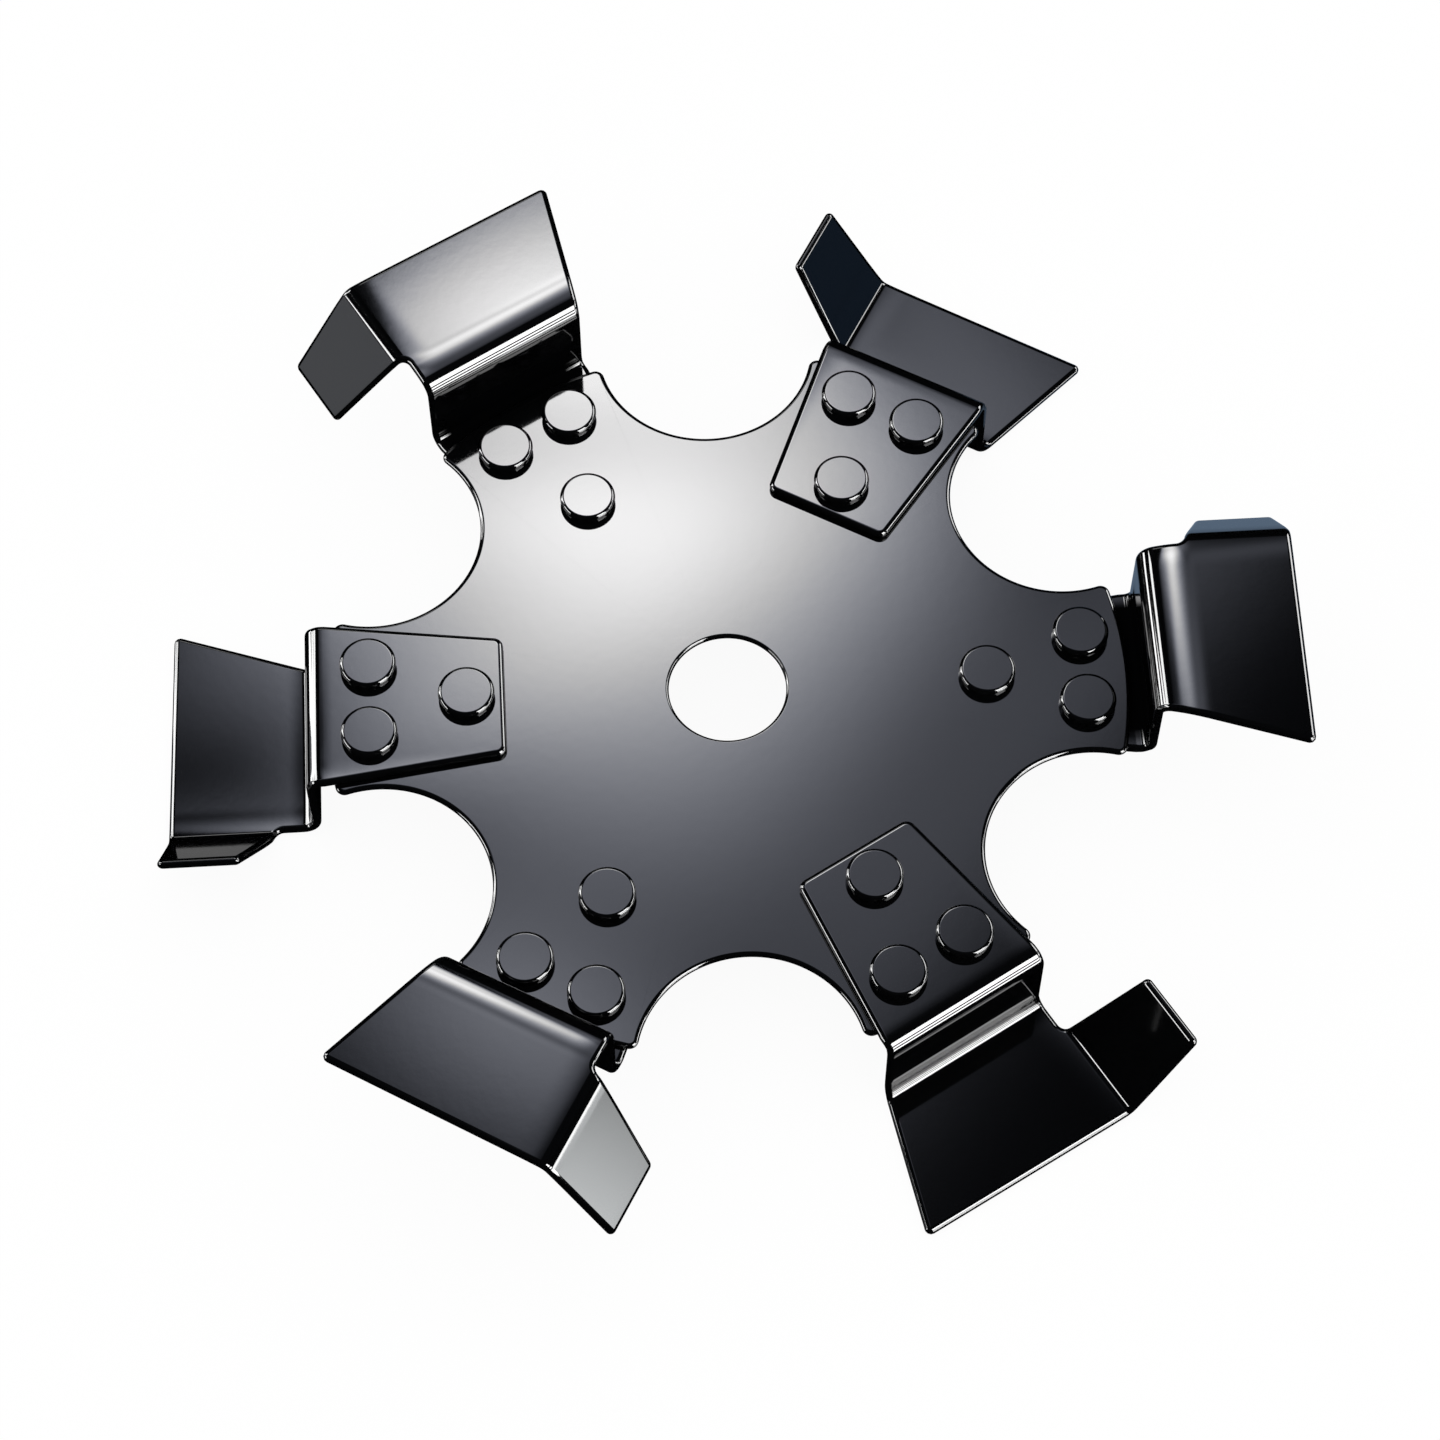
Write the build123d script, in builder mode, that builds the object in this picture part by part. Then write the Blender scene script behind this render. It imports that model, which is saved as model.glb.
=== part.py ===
"""Ditching wheel: a six-armed sheet-metal disc that carries six folded blades, each held by three rivets.

The disc lies flat around the origin, its middle plane at Z = 0 and its bore along Z. The arms are numbered
from 1 at +X, counter-clockwise seen from above. A blade is one strip of sheet: a tapered tang riveted to
the arm, a riser just past the arm's tip, a fan-shaped paddle, and a wing folded back towards the disc's
level along the paddle's counter-clockwise side. Odd arms carry upper blades, with the tang under the disc
and the paddle above it. Even arms carry lower blades, the mirror image of the upper ones.
"""
import os
from math import cos, radians, sin, tan

from build123d import *

# Disc (lengths in millimetres, angles in degrees)
bore_diameter = 25.4
disc_thickness = 1.5
arm_count = 6
arm_tip_radius = 87.0
arm_waist = 39.9
arm_corner_radius = 2.0
scallop_overhang = 0.7
disc_edge_round = 0.5
bore_edge_round = 0.35

# Blade: what the sheet is, and how its outline follows the arm's
blade_thickness = 2.0
blade_edge_round = 0.7
bend_radius = 2.0
arm_tip_clearance = 0.2
neck_inset = 0.45
tang_taper = 5.3
tang_end_margin = 8.2
flank_blend_radius = 6.0
paddle_height = 20.1
paddle_length = 31.5
paddle_flare = 11.3
outer_edge_lean = 0.95
outer_corner_radius = 1.3
inner_corner_radius = 2.2

# Wing, folded about a line that runs along the arm
fold_clearance = 0.05
fold_angle = 53.0
fold_radius = 1.5
wing_length = 24.6
wing_root_gap = 5.9
wing_edge_lean = 13.5

# Rivets: one nearer the bore, two side by side near the arm's tip
rivet_tip_margin = 9.8
rivet_row_pitch = 21.0
rivet_spacing = 16.7
rivet_shank_diameter = 6.0
rivet_hole_clearance = 0.1
rivet_head_diameter = 12.2
rivet_head_height = 2.7
rivet_head_round = 0.9
rivet_tail_diameter = 10.0
rivet_tail_end_diameter = 7.6
rivet_tail_height = 2.2

# The scallops' centres lie a little beyond the arms' tips, and the waist of an arm is what two of them leave
scallop_centre_radius = arm_tip_radius + scallop_overhang
scallop_radius = scallop_centre_radius * sin(radians(180 / arm_count)) - arm_waist / 2

# Levels of the disc's faces and of the sheet's middle plane, for an upper blade
disc_face = disc_thickness / 2
half_sheet = blade_thickness / 2
tang_level = -disc_face - half_sheet
paddle_level = paddle_height - half_sheet
rivet_grip = disc_thickness + blade_thickness

# The rivet holes, measured inward from the arm's tip, and the tang's end that they leave room for
rivet_outer_radius = arm_tip_radius - rivet_tip_margin
rivet_inner_radius = rivet_outer_radius - rivet_row_pitch
tang_start = rivet_inner_radius - tang_end_margin
hole_radius = rivet_shank_diameter / 2 + rivet_hole_clearance
rivet_places = {
    "inner": (rivet_inner_radius, 0),
    "leading": (rivet_outer_radius, rivet_spacing / 2),
    "trailing": (rivet_outer_radius, -rivet_spacing / 2),
}

# Places along the arm: the bend clears the arm's tip, and everything beyond is measured from the riser
riser_place = arm_tip_radius + arm_tip_clearance + bend_radius + half_sheet
bend_end = riser_place + half_sheet + bend_radius
paddle_corner = riser_place + paddle_length
wing_root_start = bend_end + wing_root_gap

# Half-widths across the arm
neck_half = arm_waist / 2 - neck_inset
tang_end_half = neck_half - tang_taper
paddle_half = neck_half + paddle_flare

# The wing's middle line, seen along the arm: from the fold's apex to the tip
wing_slope = radians(fold_angle)
fold_start = neck_half + fold_clearance
fold_offset = fold_start + (fold_radius + blade_thickness) * tan(wing_slope / 2)
fold_apex = (fold_offset - half_sheet * tan(wing_slope / 2), paddle_level)
wing_middle = wing_length - half_sheet * tan(wing_slope / 2)
wing_tip = (
    fold_apex[0] + wing_middle * cos(wing_slope),
    fold_apex[1] - wing_middle * sin(wing_slope),
)


def drill_rivet_holes():
    """Three holes through the piece being built, at the rivet places of the arm along +X."""
    with Locations(*rivet_places.values()):
        Hole(hole_radius)


def corner_edges(part, least_turn=30):
    """The edges where two faces meet at a corner instead of flowing into each other."""
    sides = [(face, face.edges()) for face in part.faces()]
    corners = ShapeList()
    for edge in part.edges():
        first, second = [face for face, own in sides if any(edge.is_same(other) for other in own)]
        middle = edge @ 0.5
        if first.normal_at(middle).get_angle(second.normal_at(middle)) > least_turn:
            corners.append(edge)
    return corners


def make_disc():
    """A round plate with a scallop between each two arms, its edges rounded, then drilled."""
    with BuildPart() as plate:
        with BuildSketch(Plane.XY.offset(-disc_face)) as outline:
            Circle(arm_tip_radius)
            with PolarLocations(scallop_centre_radius, arm_count, start_angle=180 / arm_count):
                Circle(scallop_radius, mode=Mode.SUBTRACT)
            fillet(outline.vertices(), arm_corner_radius)
        extrude(amount=disc_thickness)
        fillet(corner_edges(plate), disc_edge_round)
        Hole(bore_diameter / 2)
        fillet(plate.edges(Select.LAST).filter_by(GeomType.CIRCLE), bore_edge_round)
        with PolarLocations(0, arm_count):
            drill_rivet_holes()
    return plate.part


def make_upper_blade():
    """The blade of the arm along +X: a bent strip with a folded wing, trimmed to its outline."""
    # the outer edge is one straight line that leans, drawn from the paddle's corner to clear of the wing's tip
    beyond_tip = wing_tip[0] + blade_thickness
    outer_end = paddle_corner + (beyond_tip + paddle_half) * tan(radians(outer_edge_lean))
    root_lean = (beyond_tip - neck_half) * tan(radians(wing_edge_lean)) / cos(wing_slope)
    uncut_end = outer_end + blade_thickness
    with BuildPart() as sheet:
        # tang, riser and paddle: their side view, pulled across the arm from the fold to the paddle's far edge
        with BuildSketch(Plane.XZ.offset(-fold_start)):
            with BuildLine():
                FilletPolyline(
                    (tang_start, tang_level),
                    (riser_place, tang_level),
                    (riser_place, paddle_level),
                    (uncut_end, paddle_level),
                    radius=bend_radius + half_sheet,
                )
            trace(line_width=blade_thickness)
        extrude(amount=fold_start + paddle_half)
        # wing: its end view, pulled along the arm from the end of the riser's bend
        with BuildSketch(Plane.YZ.offset(bend_end)):
            with BuildLine():
                FilletPolyline((0, paddle_level), fold_apex, wing_tip, radius=fold_radius + half_sheet)
            trace(line_width=blade_thickness)
        extrude(amount=uncut_end - bend_end)
        # outline seen from above; the wing's inner edge leans too
        corners = [
            (tang_start, -tang_end_half, inner_corner_radius),
            (arm_tip_radius, -neck_half, flank_blend_radius),
            (riser_place - half_sheet, -neck_half, flank_blend_radius),
            (paddle_corner, -paddle_half, outer_corner_radius),
            (outer_end, beyond_tip, 0),
            (wing_root_start + root_lean, beyond_tip, 0),
            (wing_root_start, neck_half, inner_corner_radius),
            (arm_tip_radius, neck_half, flank_blend_radius),
            (tang_start, tang_end_half, inner_corner_radius),
        ]
        with BuildSketch(Plane.XY.offset(tang_level - half_sheet)):
            with BuildLine():
                points = [(along, across) for along, across, rounding in corners]
                roundings = [rounding for along, across, rounding in corners]
                FilletPolyline(*points, radius=roundings, close=True)
            make_face()
        extrude(amount=paddle_level - tang_level + blade_thickness, mode=Mode.INTERSECT)
        # the wing's two tip corners, then the edges of the outline on both faces of the sheet
        tip_face = sheet.faces().sort_by(Axis.Y)[-1]
        tip_corners = tip_face.edges().filter_by(lambda edge: edge.length < 1.5 * blade_thickness)
        fillet(tip_corners, outer_corner_radius)
        fillet(corner_edges(sheet), blade_edge_round)
        drill_rivet_holes()
    return sheet.part


def make_lower_blade(upper):
    """The mirror image of the upper blade, with its paddle below the disc."""
    with BuildPart() as sheet:
        add(upper)
        mirror(about=Plane.XY, mode=Mode.REPLACE)
    return sheet.part


def make_rivet():
    """A rivet about +Z: its head stands on Z = 0, and its tail tapers below the plates that it grips."""
    foot = (Align.CENTER, Align.CENTER, Align.MIN)
    with BuildPart() as rivet:
        Cylinder(rivet_head_diameter / 2, rivet_head_height, align=foot)
        fillet(rivet.edges().sort_by(Axis.Z)[-1], rivet_head_round)
        with Locations((0, 0, -rivet_grip)):
            Cylinder(rivet_shank_diameter / 2, rivet_grip, align=foot)
        with Locations((0, 0, -rivet_grip - rivet_tail_height)):
            Cone(rivet_tail_end_diameter / 2, rivet_tail_diameter / 2, rivet_tail_height, align=foot)
    return rivet.part


def save(label, source, place=(0, 0, 0), turn=0):
    """Writes one piece: the source moved to a place beside the +X arm, then turned about the bore."""
    with BuildPart() as moved:
        with Locations(place):
            add(source)
    with BuildPart() as piece:
        add(moved.part, rotation=(0, 0, turn))
    piece.part.label = label
    export_step(piece.part, f"parts/{label}.step")


def main():
    """Builds the disc, the blades and the rivets and writes each as its own file."""
    os.makedirs("parts", exist_ok=True)
    upper_blade = make_upper_blade()
    lower_blade = make_lower_blade(upper_blade)
    rivet = make_rivet()
    save("disc", make_disc())
    for number in range(1, arm_count + 1):
        turn = (number - 1) * 360 / arm_count
        if number % 2 == 1:
            blade, blade_name, head_seat = upper_blade, "upper_blade", disc_face
        else:
            blade, blade_name, head_seat = lower_blade, "lower_blade", disc_face + blade_thickness
        save(f"{blade_name}_{number}", blade, turn=turn)
        for name, (along, across) in rivet_places.items():
            save(f"rivet_{number}_{name}", rivet, place=(along, across, head_seat), turn=turn)


main()
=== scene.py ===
# %% [markdown]
# # A ditching wheel in glossy black
# The wheel is a flat steel disc with six arms. Each arm carries a blade of bent sheet, held by three rivets,
# and the whole wheel wears one smooth black coat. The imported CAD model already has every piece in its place.
# This script gives each piece a finer surface, so that the coat can carry clean reflections, and then sets up
# the finish, the studio and the camera.

from math import atan2, cos, e, pi, radians, sin, sqrt, tan

import bpy
import numpy as np
from mathutils import Matrix, Vector


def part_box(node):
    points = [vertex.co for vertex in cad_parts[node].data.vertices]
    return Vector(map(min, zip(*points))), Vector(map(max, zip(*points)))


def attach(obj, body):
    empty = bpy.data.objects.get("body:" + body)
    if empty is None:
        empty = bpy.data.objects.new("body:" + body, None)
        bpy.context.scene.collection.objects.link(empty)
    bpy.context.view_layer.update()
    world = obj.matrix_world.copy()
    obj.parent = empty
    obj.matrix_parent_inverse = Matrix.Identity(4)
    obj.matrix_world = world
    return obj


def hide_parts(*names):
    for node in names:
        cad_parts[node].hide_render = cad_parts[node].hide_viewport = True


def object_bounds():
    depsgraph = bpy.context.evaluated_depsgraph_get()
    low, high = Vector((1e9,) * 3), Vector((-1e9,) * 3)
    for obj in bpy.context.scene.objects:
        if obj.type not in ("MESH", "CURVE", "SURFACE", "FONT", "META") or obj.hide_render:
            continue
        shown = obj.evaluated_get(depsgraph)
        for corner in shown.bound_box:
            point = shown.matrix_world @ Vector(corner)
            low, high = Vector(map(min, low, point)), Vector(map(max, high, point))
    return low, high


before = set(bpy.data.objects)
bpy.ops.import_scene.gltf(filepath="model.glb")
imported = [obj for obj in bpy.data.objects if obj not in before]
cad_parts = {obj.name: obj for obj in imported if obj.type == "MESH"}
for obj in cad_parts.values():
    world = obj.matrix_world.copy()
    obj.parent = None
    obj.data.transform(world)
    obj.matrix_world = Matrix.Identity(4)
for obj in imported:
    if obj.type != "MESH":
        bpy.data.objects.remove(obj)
cad_box = [[float(value) for value in corner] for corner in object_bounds()]
mm = 0.001
print("nodes:", len(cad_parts), "CAD box in mm:", np.round(np.array(cad_box) / mm, 1).tolist())

# %% [markdown]
# ## The sizes
# Blender works in metres, but a maker reads sheet metal in millimetres, so every size is written as a number
# of millimetres. The disc's thickness is read from the CAD disc instead, so that it can't drift away from it.

# %% Sizes of the disc, the sheet and the rivets
_, disc_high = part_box("disc")
disc_face = disc_high.z
arm_count = 6
arm_tip_radius = 87.0 * mm
arm_waist = 39.9 * mm
arm_corner_radius = 2.0 * mm
scallop_overhang = 0.7 * mm
scallop_centre_radius = arm_tip_radius + scallop_overhang
scallop_radius = scallop_centre_radius * sin(pi / arm_count) - arm_waist / 2
bore_radius = 12.7 * mm
disc_edge_width = 1.0 * mm
bore_edge_width = 0.7 * mm

sheet_thickness = 2.0 * mm
half_sheet = sheet_thickness / 2
edge_width = 1.25 * mm
tang_bend_radius = 2.4 * mm
paddle_bend_radius = 3.0 * mm
tang_start = 48.0 * mm
riser_place = 90.2 * mm
tang_level = -disc_face - half_sheet
paddle_level = 19.1 * mm
print("disc thickness in mm:", round(2 * disc_face / mm, 3), "scallop radius:", round(scallop_radius / mm, 2))

# %% [markdown]
# ## Grids of points
# Nearly every surface here is a grid: rows and columns of points worked out by one formula. Blender needs the
# points, and the faces as lists of point numbers. Numpy can number a whole grid at once, which is faster and
# clearer than a loop. Where two grids meet, their edge points coincide, and joining those points closes the
# seam.

# %% Grid faces and joined points
def grid_faces(rows, columns, first=0):
    """Four-sided faces between neighbours of a rows by columns grid, whose points are numbered row by row."""
    number = first + np.arange(rows * columns).reshape(rows, columns)
    return np.stack([number[:-1, :-1], number[1:, :-1], number[1:, 1:], number[:-1, 1:]], -1).reshape(-1, 4)


def join_grids(grids):
    """Puts grids of (points, normals) together and joins the points that share a place.

    A face's own direction is the cross product of its diagonals. Where a grid's faces point against its
    normals, the order of their corners is reversed. Points share a place when they agree to a ten-thousandth
    of a millimetre.
    """
    points, normals, faces = [], [], []
    count = 0
    for grid_points, grid_normals in grids:
        rows, columns = grid_points.shape[:2]
        own = grid_faces(rows, columns)
        flat_points, flat_normals = grid_points.reshape(-1, 3), grid_normals.reshape(-1, 3)
        first, second, third, fourth = (flat_points[own[:, corner]] for corner in range(4))
        agreement = (np.cross(third - first, fourth - second) * flat_normals[own[:, 0]]).sum()
        points.append(flat_points)
        normals.append(flat_normals)
        faces.append(count + (own if agreement > 0 else own[:, ::-1]))
        count += rows * columns
    points, normals, faces = np.vstack(points), np.vstack(normals), np.vstack(faces)
    _, kept, joined = np.unique(np.round(points / mm, 4), axis=0, return_index=True, return_inverse=True)
    faces = joined.reshape(-1)[faces]
    # a face that lost two corners in the joining is a triangle, or nothing
    corners = [list(dict.fromkeys(face)) for face in faces.tolist()]
    return points[kept], normals[kept], [face for face in corners if len(face) > 2]


print("a grid of 3 by 4 points has", len(grid_faces(3, 4)), "faces")

# %% [markdown]
# ## Exact normals
# A glossy coat shows every error of the shading. Blender guesses a smooth normal by averaging the faces round
# a point, which bends the reflections near each edge. The formulas below also give the true direction of the
# surface at each point, so the meshes get these as custom normals.

# %% A piece that stands for a CAD node
def make_piece(node, points, normals, faces, slot, name):
    """A mesh object with custom normals, riding on the wheel and shown in place of its CAD node."""
    mesh = bpy.data.meshes.new(name)
    mesh.from_pydata(points.tolist(), [], faces)
    mesh.polygons.foreach_set("use_smooth", np.ones(len(mesh.polygons), bool))
    mesh.validate()
    mesh.normals_split_custom_set_from_vertices(normals.tolist())
    piece = bpy.data.objects.new(name, mesh)
    bpy.context.scene.collection.objects.link(piece)
    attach(piece, "root")
    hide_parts(node)
    return piece


def turned_about_bore(vectors, angle):
    """Points or normals turned counter-clockwise about the Z axis."""
    turn = np.array([[cos(angle), -sin(angle), 0], [sin(angle), cos(angle), 0], [0, 0, 1]])
    return vectors @ turn.T


# %% [markdown]
# ## Rounded edges
# The coat is thick enough to round every cut edge. In the photograph these rounded rims make the thin black
# and white lines round each plate. A rim is one profile carried along the plate's outline: a quarter of an
# ellipse down from the upper face and another back to the lower face. The ellipse is wider than it is deep,
# because the coat pulls away from the edge, so the slope starts gently and makes a fine bright line.

# %% The rim's profile
def rim_profile(half_thickness, width, steps=9):
    """Distance outward, height, and the normal's outward and upward parts, from the upper face to the lower.

    An ellipse's normal is its own direction divided by its two half-widths. A narrow flat is left between the
    two quarters, at the middle of the sheet.
    """
    rounded_share = 0.96
    turn = np.linspace(0, pi / 2, steps)
    depth = rounded_share * half_thickness
    outward = width * np.sin(turn)
    height = half_thickness - depth + depth * np.cos(turn)
    normal_out, normal_up = np.sin(turn) / width, np.cos(turn) / depth
    size = np.hypot(normal_out, normal_up)
    normal_out, normal_up = normal_out / size, normal_up / size
    return (np.concatenate([outward, outward[::-1]]), np.concatenate([height, -height[::-1]]),
            np.concatenate([normal_out, normal_out[::-1]]), np.concatenate([normal_up, -normal_up[::-1]]))


print("rim profile points:", len(rim_profile(half_sheet, edge_width)[0]))

# %% [markdown]
# ## The disc
# The disc's outline is made of circles only: the arms' round tips, the scallops between the arms, and a small
# corner circle that touches both. Each circle gives its points and its outward direction directly. The flat
# faces are a grid between the bore and the outline, and the rim profile closes the plate.

# %% The disc's outline
def arc_points(centre, radius, start, end, steps, inside_out=False):
    """Points on a circle and their directions away from the plate: towards the centre if inside out."""
    angle = np.linspace(start, end, steps)
    direction = np.stack([np.cos(angle), np.sin(angle)], -1)
    return centre + radius * direction, -direction if inside_out else direction


def disc_outline(scallop_steps=72, corner_steps=12, tip_steps=30):
    """The outline and its outward directions, counter-clockwise, from one scallop's middle to the next."""
    half_step = pi / arm_count
    # the corner circle lies inside the tip circle and outside the scallop; the law of cosines gives its place
    reach = arm_tip_radius - arm_corner_radius
    apart = scallop_radius + arm_corner_radius
    sides = reach**2 + scallop_centre_radius**2 - apart**2
    to_corner = np.arccos(sides / (2 * reach * scallop_centre_radius))
    scallop_centre = np.array([scallop_centre_radius, 0])
    corner_centre = reach * np.array([cos(to_corner), sin(to_corner)])
    towards = corner_centre - scallop_centre
    scallop_end = atan2(towards[1], towards[0])
    pieces = [
        arc_points(scallop_centre, scallop_radius, pi, scallop_end, scallop_steps, inside_out=True),
        arc_points(corner_centre, arm_corner_radius, scallop_end - pi, to_corner, corner_steps),
        arc_points(np.zeros(2), arm_tip_radius, to_corner, half_step, tip_steps),
    ]
    half = np.vstack([points[:-1] for points, _ in pieces] + [pieces[-1][0][-1:]])
    away = np.vstack([directions[:-1] for _, directions in pieces] + [pieces[-1][1][-1:]])
    # the other half is the mirror image about the arm's middle line
    mirror = np.array([[cos(2 * half_step), sin(2 * half_step)], [sin(2 * half_step), -cos(2 * half_step)]])
    half, away = np.vstack([half, (half @ mirror)[-2:0:-1]]), np.vstack([away, (away @ mirror)[-2:0:-1]])
    outline, directions = [], []
    for number in range(arm_count):
        angle = half_step * (2 * number + 1)
        turn = np.array([[cos(angle), -sin(angle)], [sin(angle), cos(angle)]])
        outline.append(half @ turn.T)
        directions.append(away @ turn.T)
    return np.vstack(outline), np.vstack(directions)


outline, away = disc_outline()
print("outline points:", len(outline), "reach in mm:", round(np.linalg.norm(outline, axis=1).max() / mm, 2))

# %% The disc's faces and rims
def closed(rows):
    """Repeats the first column of a ring of points at its end, so that the grid closes on itself."""
    return np.concatenate([rows, rows[:, :1]], axis=1)


def ring_rim(ring, away, half_thickness, width):
    """The rim profile carried round a closed outline: each profile point is one row of the grid."""
    outward, height, normal_out, normal_up = rim_profile(half_thickness, width)
    flat = ring[None] + (outward - width)[:, None, None] * away[None]
    points = np.concatenate([flat, np.broadcast_to(height[:, None, None], flat.shape[:2] + (1,))], -1)
    side = normal_out[:, None, None] * away[None]
    normals = np.concatenate([side, np.broadcast_to(normal_up[:, None, None], side.shape[:2] + (1,))], -1)
    return closed(points), closed(normals)


def disc_grids():
    """Upper and lower face between the bore's edge and the outline, the outer rim and the bore's rim."""
    angle = np.unwrap(np.arctan2(outline[:, 1], outline[:, 0]))
    bore_away = -np.stack([np.cos(angle), np.sin(angle)], -1)
    bore_ring = -bore_radius * bore_away
    outer_rim = ring_rim(outline, away, disc_face, disc_edge_width)
    bore_rim = ring_rim(bore_ring, bore_away, disc_face, bore_edge_width)
    share = np.linspace(0, 1, 9)[:, None, None]
    grids = [outer_rim, bore_rim]
    for row, up in ((0, 1), (-1, -1)):
        points = bore_rim[0][row] + share * (outer_rim[0][row] - bore_rim[0][row])
        normals = np.broadcast_to([0.0, 0.0, float(up)], points.shape)
        grids.append((points, normals))
    return grids


disc = make_piece("disc", *join_grids(disc_grids()), "disc_coat", "disc_plate")
print("disc faces:", len(disc.data.polygons))

# %% [markdown]
# ## The sheet's middle line
# A blade starts as a flat strip, so its own flat pattern is the natural place to draw it: one coordinate runs
# along the strip, the other across it. Bending only says where each point of the pattern goes. Seen from the
# side, the middle line's slope angle is a running total of the bends, and its points are the running total of
# the slope's cosine and sine.

# %% A line bent at given places
def bent_line(bends, length=90 * mm, steps=36001):
    """Slope angle, distance along and height of a bent line, as arrays over its own length.

    The line runs from minus the length to plus the length. Each bend is (place, turn, radius, creep, creep
    width, creep shift). Most of the turn grows evenly over the arc. The share called creep grows along a
    smooth S-curve, as far as the creep width on each side of its own middle. That middle lies the creep shift
    beyond the bend.
    """
    along = np.linspace(-length, length, steps)
    slope = np.zeros(steps)
    for place, turn, radius, creep, creep_width, creep_shift in bends:
        arc = abs(turn) * radius
        even = np.clip((along - place) / arc + 0.5, 0, 1)
        spread = np.clip((along - place - creep_shift) / (2 * creep_width) + 0.5, 0, 1)
        slope += turn * ((1 - creep) * even + creep * spread**2 * (3 - 2 * spread))
    step = along[1] - along[0]
    middle = steps // 2

    def running_total(rate):
        total = np.concatenate([[0], np.cumsum((rate[1:] + rate[:-1]) / 2 * step)])
        return total - total[middle]

    return along, slope, running_total(np.cos(slope)), running_total(np.sin(slope))


no_creep = (0, 1 * mm, 0)
rise = paddle_level - tang_level
riser_flat = rise - tang_bend_radius - paddle_bend_radius
tang_bend = -riser_flat / 2 - tang_bend_radius * pi / 4
paddle_bend = riser_flat / 2 + paddle_bend_radius * pi / 4


def side_view(tang_creep=no_creep, paddle_creep=no_creep):
    """The blade's middle line seen from the side, with the riser between the tang and the paddle.

    Creep makes the line rise a little more, so the flat part of the riser is shortened until the rise is
    right. Four rounds of this are plenty.
    """
    shorter = 0
    for _ in range(4):
        along, slope, out, up = bent_line([
            (tang_bend + shorter / 2, pi / 2, tang_bend_radius, *tang_creep),
            (paddle_bend - shorter / 2, -pi / 2, paddle_bend_radius, *paddle_creep),
        ])
        shorter += up[-1] - up[0] - rise
    up = tang_level + up - up[0]
    return along, slope, out + riser_place - np.interp((paddle_level + tang_level) / 2, up, out), up


side_along, _, side_out, side_up = side_view()
print("side view rises from", round(side_up[0] / mm, 2), "to", round(side_up[-1] / mm, 2), "mm")

# %% [markdown]
# ## Soft bends
# A pressed bend is never a perfect arc with dead flat sheet beside it: a little of the turn creeps into the
# flats, and no two blades come out of the press alike. That creep is what makes the soft shading next to each
# bend. The blade's outline is drawn once, for the plain side view, and each blade then follows its own soft
# side view. The two ends of the soft view are slid along the strip, so that the tang and the paddle stay in
# place.

# %% A soft side view for each arm
# share of the turn, how far it spreads, and how far beyond the bend
upper_tang_habit = no_creep
lower_tang_habit = (0.07, 5 * mm, 0)
paddle_habits = {
    1: (0.20, 6 * mm, 5 * mm),
    2: (0.08, 6 * mm, 0),
    3: (0.17, 6 * mm, 3.5 * mm),
    4: (0.08, 6 * mm, 0),
    5: (0.20, 6 * mm, 3 * mm),
    6: (0.08, 6 * mm, 0),
}


def soft_view(number):
    """Slope, distance out and height of one blade's side view, over the plain strip's own length."""
    tang_habit = upper_tang_habit if number % 2 == 1 else lower_tang_habit
    along, slope, out, up = side_view(tang_habit, paddle_habits[number])
    ends = [side_out[0] - out[0], side_out[-1] - out[-1]]
    slide_place = 3 * mm
    own = along + np.interp(along, [-slide_place, slide_place], ends)
    return [np.interp(own, along, values) for values in (slope, out, up)]


soft_views = {number: soft_view(number) for number in paddle_habits}
stray = [np.hypot(out - side_out, up - side_up).max() for _, out, up in soft_views.values()]
print("soft bends stray from the plain side view by up to", np.round(np.array(stray) / mm, 2).tolist(), "mm")

# %% [markdown]
# ## The wing's fold
# The wing folds about a line that runs along the arm, so the end view is a second bent line with a single
# bend. A point of the flat pattern then has a simple place: the side view gives its distance out and height,
# the end view gives its distance across and how far it drops. No part of the blade is bent both ways at once,
# so the two views just add up.

# %% Where a point of the flat pattern goes
fold_angle = radians(53.0)
fold_radius = 2.5 * mm
fold_start = 19.55 * mm
fold_end = fold_start + fold_radius * fold_angle
fold_creep = (0.16, 8 * mm, 0)
wing_length = 24.1 * mm
wing_edge = fold_end - fold_radius * tan(fold_angle / 2) + wing_length
fold_place = (fold_start + fold_end) / 2
end_along, end_slope, end_across, end_drop = bent_line([(fold_place, -fold_angle, fold_radius, *fold_creep)])
paddle_shift = side_out[-1] - side_along[-1]


def on_sheet(view, along, across, height):
    """Places and normals for arrays of flat-pattern points at a height over the sheet's middle.

    The normal stands square to both views: minus the sine and plus the cosine of their slopes.
    """
    soft_slope, soft_out, soft_up = view
    side = np.interp(along, side_along, soft_slope)
    end = np.interp(across, end_along, end_slope)
    normal = np.stack([-np.sin(side), -np.sin(end), np.cos(side) * np.cos(end)], -1)
    normal /= np.linalg.norm(normal, axis=-1, keepdims=True)
    out = np.interp(along, side_along, soft_out)
    up = np.interp(along, side_along, soft_up) + np.interp(across, end_along, end_drop)
    middle = np.stack([out, np.interp(across, end_along, end_across), up], -1)
    return middle + np.asarray(height)[..., None] * normal, normal


print("wing's edge in the flat pattern at", round(wing_edge / mm, 2), "mm from the middle line")

# %% [markdown]
# ## The blade's outline
# The outline is drawn in the flat pattern, inset by the width of the rounded rim, because the flat face ends
# there. Straight edges are lines, and each corner is a circle that touches both of its edges.

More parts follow.
